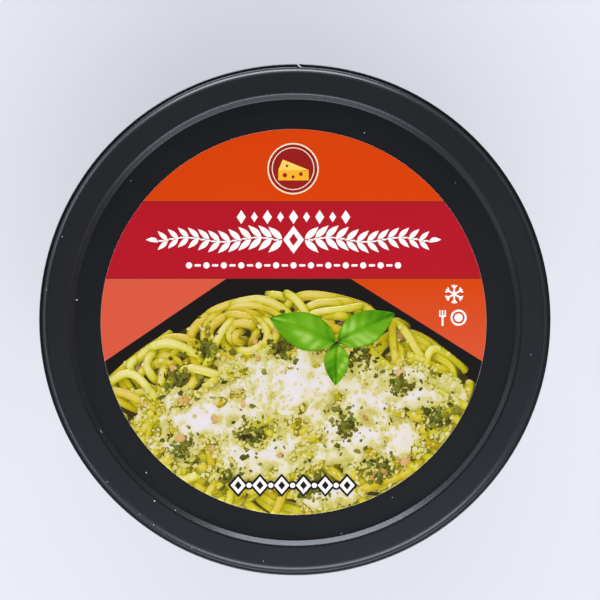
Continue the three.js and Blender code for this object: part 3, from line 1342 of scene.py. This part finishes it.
def sprinkle(count, place, radius, margin, lift, stays=lambda x, y: True):
    """Drops bits on the dish until enough lie there. The margin is to the print's edge."""
    places = []
    while len(places) < count:
        x, y = place()
        height = top_at(heap_tree, x, y, -1)
        if height > 0 and math.hypot(x, y) < PRINT_RADIUS - margin and stays(x, y):
            size = radius()
            places.append((x, y, height + lift * size, size))
    return places


def within(left, right, foot, top):
    """A way to draw places in a rectangle."""
    return lambda: (roll(left, right), roll(foot, top))


def by_cluster():
    """A place in one of the clumps of herbs."""
    x, y, reach = picture_dice.choice(HERB_CLUSTERS)
    spread = picture_dice.choice(HERB_SPREADS)
    return picture_dice.gauss(x, reach * spread), picture_dice.gauss(y, reach * spread)


def mostly_small(least, range_above):
    """A way to draw radii, few of which are large."""
    return lambda: least + range_above * picture_dice.random() ** 2


def near_cheese(x, y):
    """Crumbs lie round the edges of the sheet most of all."""
    amount = gathered(x, y)
    at_edge = 0.9 * math.exp(-((amount - 0.1) ** 2) / 0.12)
    return picture_dice.random() < at_edge + 0.1 * (amount > 0.3) + 0.02


crumb_points, crumb_faces = crumb_shape()
heap_tree = tree_of([strands, sheet])
crumb_places = sprinkle(
    CRUMB_COUNT, within(-42, 42, -44, 2), mostly_small(0.19, 0.4), 0.7, lift=0.2, stays=near_cheese
)
crumbs = scatter("picture_crumbs", crumb_places, 1.6, flatness=0.7, tilt=math.pi)
herb_places = sprinkle(HERB_COUNT, by_cluster, mostly_small(0.16, 0.3), 1.4, lift=0.9)
herbs = scatter("picture_herbs", herb_places, 2.8, flatness=0.35, tilt=0.6)
bit_places = sprinkle(
    BIT_COUNT, within(-36, 36, -38, 0), lambda: roll(0.5, 0.95), 2.6, lift=0.1
)
bits = scatter("picture_bits", bit_places, 2.4, flatness=0.6, tilt=0.8)
print("crumbs", len(crumb_places), "herbs", len(herb_places), "bits", len(bit_places))

# %% [markdown]
# ## The sprig
# Three fresh leaves lie on top. A leaf starts as a grid whose rows are drawn in to two points. Its
# middle rib is a groove, its sides bulge between the side ribs, and the whole leaf curls.

# %% Grow the leaves
LEAF_LIFT = 7.4  # above the dish
LEAF_THICKNESS = 0.3
LEAVES = [  # stalk x, stalk y, turn in degrees, length, width, curl
    (9.6, -4.6, 160, 16.0, 8.4, 1.6),
    (10.2, -4.4, 26, 14.5, 7.8, 2.2),
    (10.0, -5.0, 268, 9.5, 5.6, 1.0),
]


def leaf_relief(share, side, curl):
    """The rise of a leaf at a share of its length, and at a side from -1 to 1."""
    ribs = abs(math.sin((share * 5.2 - 0.9 * abs(side)) * math.pi))
    middle_rib = 0.45 * math.exp(-((side / 0.08) ** 2))
    rise = 0.8 * side**2 + 0.25 * ribs * abs(side) ** 0.5 - middle_rib
    return rise + curl * math.sin(share * math.pi) + 0.5 * math.sin(share * 7 + side * 2.4)


def leaf(stalk_x, stalk_y, turn, length, width, curl):
    grid = {"x_subdivisions": 48, "y_subdivisions": 22, "size": MM}
    blade = added(bpy.ops.mesh.primitive_grid_add, **grid)
    heading = math.radians(turn)
    along_leaf = Vector((math.cos(heading), math.sin(heading)))
    across_leaf = Vector((-along_leaf.y, along_leaf.x))
    for point in blade.data.vertices:
        share = min(max(point.co.x / MM + 0.5, 0.0), 1.0)
        side = point.co.y / MM * 2
        half_width = width / 2 * math.sin(math.pi * share**0.82) ** 0.85 + 0.05
        flat = along_leaf * length * share + across_leaf * half_width * side
        x, y = stalk_x + flat.x, stalk_y + flat.y
        height = heap_height(x, y) + LEAF_LIFT + leaf_relief(share, side, curl)
        point.co = on_label(x, y, PICTURE_LAYER, height)
    with editing():
        draw_out(-LEAF_THICKNESS)
    return blade


leaves = joined("picture_leaves", *(leaf(*place) for place in LEAVES))
print("leaves:", len(leaves.data.polygons), "faces")

# %% [markdown]
# ## Light the dish and press it flat
# Each point now sends rays up to the sky and one towards a window at the upper left. What they
# meet tells its tone, from 0 in the dark gaps to 1 in full light, and the tone is stored on the
# point. Then all heights are pressed together, in the same order, so that nothing changes places.

# %% Light and press
WINDOW = Vector((-0.5, 0.5, 0.72)).normalized()
BETWEEN = (WINDOW + UPWARDS).normalized()  # a point that faces this way glints
SKY_RAYS = 12
SKY_REACH = 6 * MM
SKIN = 0.05 * MM  # rays start this far off a point
RELIEF = 0.08  # the height of the pressed dish
WETNESS = {strands: 0.36, sheet: 0.0, crumbs: 0.0, herbs: 0.1, bits: 0.1, leaves: 0.25}
SOFTENINGS = {strands: 2, sheet: 4, crumbs: 3, herbs: 2, bits: 2, leaves: 2}

golden_turn = math.pi * (3 - math.sqrt(5))
sky_directions = []
for index in range(SKY_RAYS):
    flat = math.sqrt((index + 0.5) / SKY_RAYS)
    turn = index * golden_turn
    rise = math.sqrt(1 - flat**2)
    sky_directions.append(Vector((flat * math.cos(turn), flat * math.sin(turn), rise)))
whole_sky = sum(ray.z for ray in sky_directions)


def tone_of(point, tree, wetness):
    """The share of light that a point gets. A wet one glints as well."""
    if point.normal.z < -0.3:
        return 0.0
    start = point.co + point.normal * SKIN
    open_sky = 0.0
    for ray in sky_directions:
        facing = point.normal.dot(ray)
        if facing > 0 and tree.ray_cast(start, ray, SKY_REACH)[0] is None:
            open_sky += facing
    window = max(0.0, point.normal.dot(WINDOW))
    glint = wetness * max(0.0, point.normal.dot(BETWEEN)) ** 24
    if window > 0 and tree.ray_cast(start, WINDOW, 2 * SKY_REACH)[0] is not None:
        window *= 0.3
        glint *= 0.1
    return min(1.0, (0.5 * open_sky / whole_sky + 0.4 * window) ** 0.97 + glint)


def soften(piece, tones):
    """Blends the tone of each point with those next to it, as a lens would."""
    ends = np.array([edge.vertices[:] for edge in piece.data.edges])
    total = np.zeros(len(tones))
    count = np.zeros(len(tones))
    for here, there in ((0, 1), (1, 0)):
        np.add.at(total, ends[:, here], tones[ends[:, there]])
        np.add.at(count, ends[:, here], 1)
    return 0.45 * tones + 0.55 * total / np.maximum(count, 1)


picture_tree = tree_of(WETNESS)
picture_top = max(point.co.z for piece in WETNESS for point in piece.data.vertices)
press = RELIEF / (picture_top / MM - PICTURE_FOOT)
for piece, wetness in WETNESS.items():
    points = piece.data.vertices
    tones = np.array([tone_of(point, picture_tree, wetness) for point in points])
    for _ in range(SOFTENINGS[piece]):
        tones = soften(piece, tones)
    keep_on_points(piece.data, "tone", tones)
    print(piece.name, "mean tone", round(tones.mean(), 2), "spread", round(tones.std(), 2))
for piece in WETNESS:
    for point in piece.data.vertices:
        point.co.z = (PICTURE_FOOT + (point.co.z / MM - PICTURE_FOOT) * press) * MM
print("pressed to", round(press, 4), "of its height")

# %% [markdown]
# ## Picture inks
# Each kind of food gets a ramp from its shade colour to its light colour, and the stored tone says
# where on the ramp a point lies. Real pasta under oil is a greenish yellow with pale glints and
# olive shade. The cheese is almost white, and looks faintly lilac beside so much yellow.

# %% Picture finishes


def set_stops(ramp, stops):
    """Puts (tone, colour) stops on a colour ramp."""
    while len(ramp.elements) < len(stops):
        ramp.elements.new(1.0)
    for element, (tone, shown) in zip(ramp.elements, stops):
        element.position = tone
        element.color = colour(*shown)


def picture_ink(name, stops, tint_to=None, tint_share=0.0):
    """Ink by tone. Part of it leans to another colour."""
    finish = Finish(name, Roughness=INK_GLOSS, IOR=INK_IOR)
    tone = finish.node("Attribute", {"attribute_name": "tone"}, output="Fac")
    speckle = finish.noise(grain=0.6, detail=3)
    shown = tone + (speckle - 0.5) * 0.1
    shaded = finish.node("ValToRGB", None, {"Fac": shown})
    set_stops(shaded.socket.node.color_ramp, stops)
    if tint_to:
        tint = finish.node("Attribute", {"attribute_name": "tint"}, output="Fac")
        shaded = finish.blend(tint * tint_share, shaded, colour(*tint_to), kind="MULTIPLY")
    finish.feed("Base Color", shaded)
    return finish.material


PASTA_STOPS = [
    (0.0, (58, 44, 10)),
    (0.15, (122, 114, 10)),
    (0.32, (170, 162, 4)),
    (0.5, (200, 191, 54)),
    (0.68, (215, 206, 124)),
    (0.92, (227, 219, 182)),
]
CHEESE_STOPS = [
    (0.0, (136, 124, 40)),
    (0.18, (192, 182, 108)),
    (0.36, (213, 204, 168)),
    (0.55, (215, 207, 199)),
    (0.85, (221, 214, 221)),
]
CRUMB_STOPS = [
    (0.0, (164, 152, 60)),
    (0.2, (200, 190, 112)),
    (0.42, (214, 206, 164)),
    (0.75, (226, 218, 214)),
]
HERB_STOPS = [(0.0, (62, 54, 12)), (0.35, (124, 124, 38)), (0.8, (188, 190, 92))]
BIT_STOPS = [(0.0, (118, 80, 36)), (0.35, (198, 158, 98)), (0.8, (230, 204, 166))]
LEAF_STOPS = [
    (0.0, (22, 58, 4)),
    (0.3, (46, 104, 2)),
    (0.6, (78, 140, 4)),
    (0.8, (106, 163, 22)),
    (1.0, (154, 194, 84)),
]
print_in(ink("dish_ink", (70, 58, 14), (40, 33, 14)), dish_base)
print_in(picture_ink("pasta_ink", PASTA_STOPS, (243, 213, 98), 0.7), strands)
print_in(picture_ink("cheese_ink", CHEESE_STOPS, (242, 236, 120), 0.8), sheet)
print_in(picture_ink("crumb_ink", CRUMB_STOPS, (240, 234, 140), 0.6), crumbs)
print_in(picture_ink("herb_ink", HERB_STOPS, (112, 116, 60), 0.9), herbs)
print_in(picture_ink("nut_ink", BIT_STOPS, (240, 220, 160), 0.6), bits)
print_in(picture_ink("leaf_ink", LEAF_STOPS), leaves)
print("picture inks on", len(WETNESS), "pieces")

# %% [markdown]
# ## Dust on the lid
# The lid isn't quite clean: pale grains lie on it, most of them at the lower left, with one short
# fibre. They are crumbs again, set down where a ray from above meets the lid. Places count from
# the label's middle, as the print's do.

# %% Scatter dust
# fmt: off
DUST = [  # x, y, radius
    (-49.8, 5.1, 0.2), (-33.8, -34.6, 0.2), (-31.8, -41.0, 0.19), (-27.1, -43.2, 0.18),
    (-35.3, -44.0, 0.12), (-32.1, -46.5, 0.14), (-42.7, -36.6, 0.12), (-23.4, -51.8, 0.13),
    (-21.6, -52.1, 0.09), (-18.4, -47.6, 0.1), (-53.0, 19.5, 0.13), (-56.7, 7.4, 0.12),
    (-37.4, 32.5, 0.13), (16.3, 43.5, 0.14), (37.2, 32.0, 0.1), (22.7, -40.3, 0.12),
    (11.0, -48.6, 0.13), (54.4, -7.5, 0.1), (-6.9, -54.8, 0.12),
]
# fmt: on
FIBRE = (-44.2, -25.0)
FIBRE_RADIUS = 0.1
FIBRE_LEAN = math.radians(-52)
FIBRE_STRETCH = (6.5, 0.7)  # along and across

lid_tree = tree_of([lid])
dust_places = [(x, y, top_at(lid_tree, x, y, 0) + 0.2 * size, size) for x, y, size in DUST]
dust = scatter("dust", dust_places, 1.3, flatness=0.6, tilt=0.5)
fibre_place = (*FIBRE, top_at(lid_tree, *FIBRE, 0) + FIBRE_RADIUS / 2, FIBRE_RADIUS)
fibre = scatter("fibre", [fibre_place], 1.0, flatness=0.4, tilt=0.0)
fibre_middle = on_label(*FIBRE, PICTURE_LAYER).xy
for point in fibre.data.vertices:
    reach = point.co.xy - fibre_middle
    reach.rotate(Matrix.Rotation(-numbers.uniform(0, 0.1), 2))
    stretched = Vector((reach.x * FIBRE_STRETCH[0], reach.y * FIBRE_STRETCH[1]))
    point.co.xy = fibre_middle + Matrix.Rotation(FIBRE_LEAN, 2) @ stretched

dust_finish = Finish("dust_grains", Roughness=0.9, IOR=1.3)
dust_tone = dust_finish.blend(0.5, colour(196, 198, 200), colour(168, 170, 176))
dust_finish.feed("Base Color", dust_tone)
for piece in (dust, fibre):
    dress(piece, dust_finish.material)
    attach(piece, "root")
print(len(DUST), "grains of dust and a fibre")
